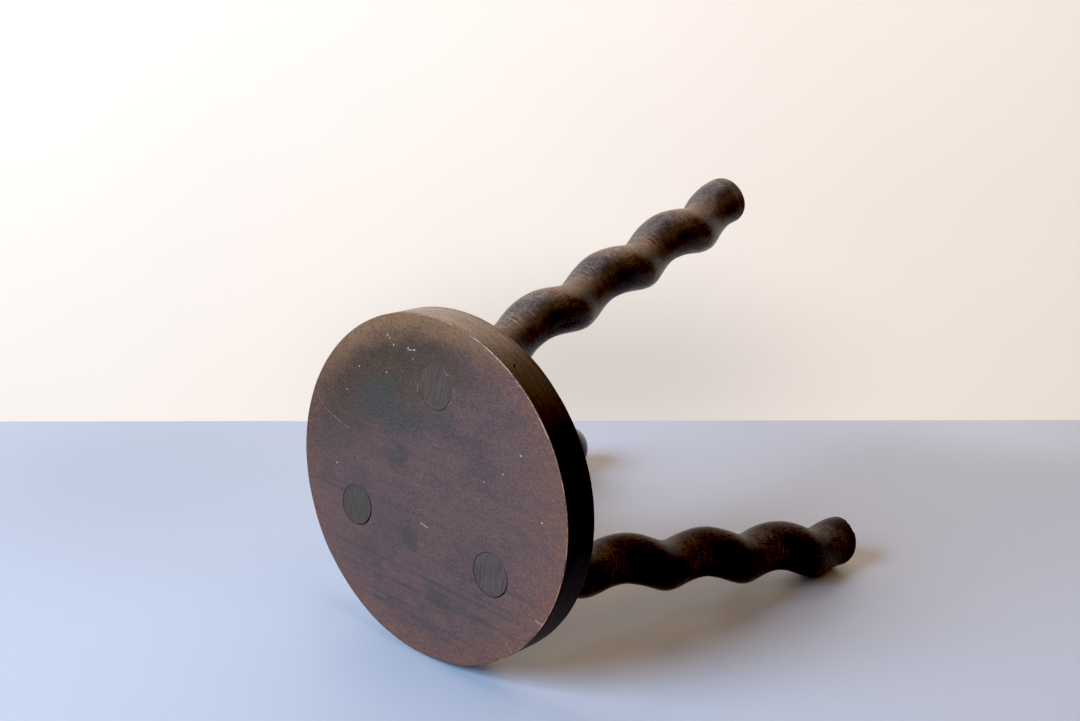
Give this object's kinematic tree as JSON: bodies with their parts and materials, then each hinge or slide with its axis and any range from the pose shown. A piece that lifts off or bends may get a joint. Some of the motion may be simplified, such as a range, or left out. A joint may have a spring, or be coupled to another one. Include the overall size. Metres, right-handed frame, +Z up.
{
  "type": "milking stool",
  "caption": "Low wooden stool with a flat round seat on splayed legs carved as a single-strand barley twist, their round tenons showing flush in the seat.",
  "frame": {"origin": "on the floor, below the centre of the seat", "axes": "+Z up, square to the seat's top face; +Y towards leg A's hole in the seat; leg B and leg C follow anticlockwise seen from above"},
  "size_m": [0.3119, 0.3021, 0.3285],
  "materials": {
    "seat_wood": "old waxed wood, worn satin",
    "leg_wood": "dark stained open-grained wood, satin"
  },
  "bodies": {
    "root": {"seat": "seat_wood", "leg_a": "leg_wood", "leg_b": "leg_wood", "leg_c": "leg_wood"}
  },
  "joints": []
}
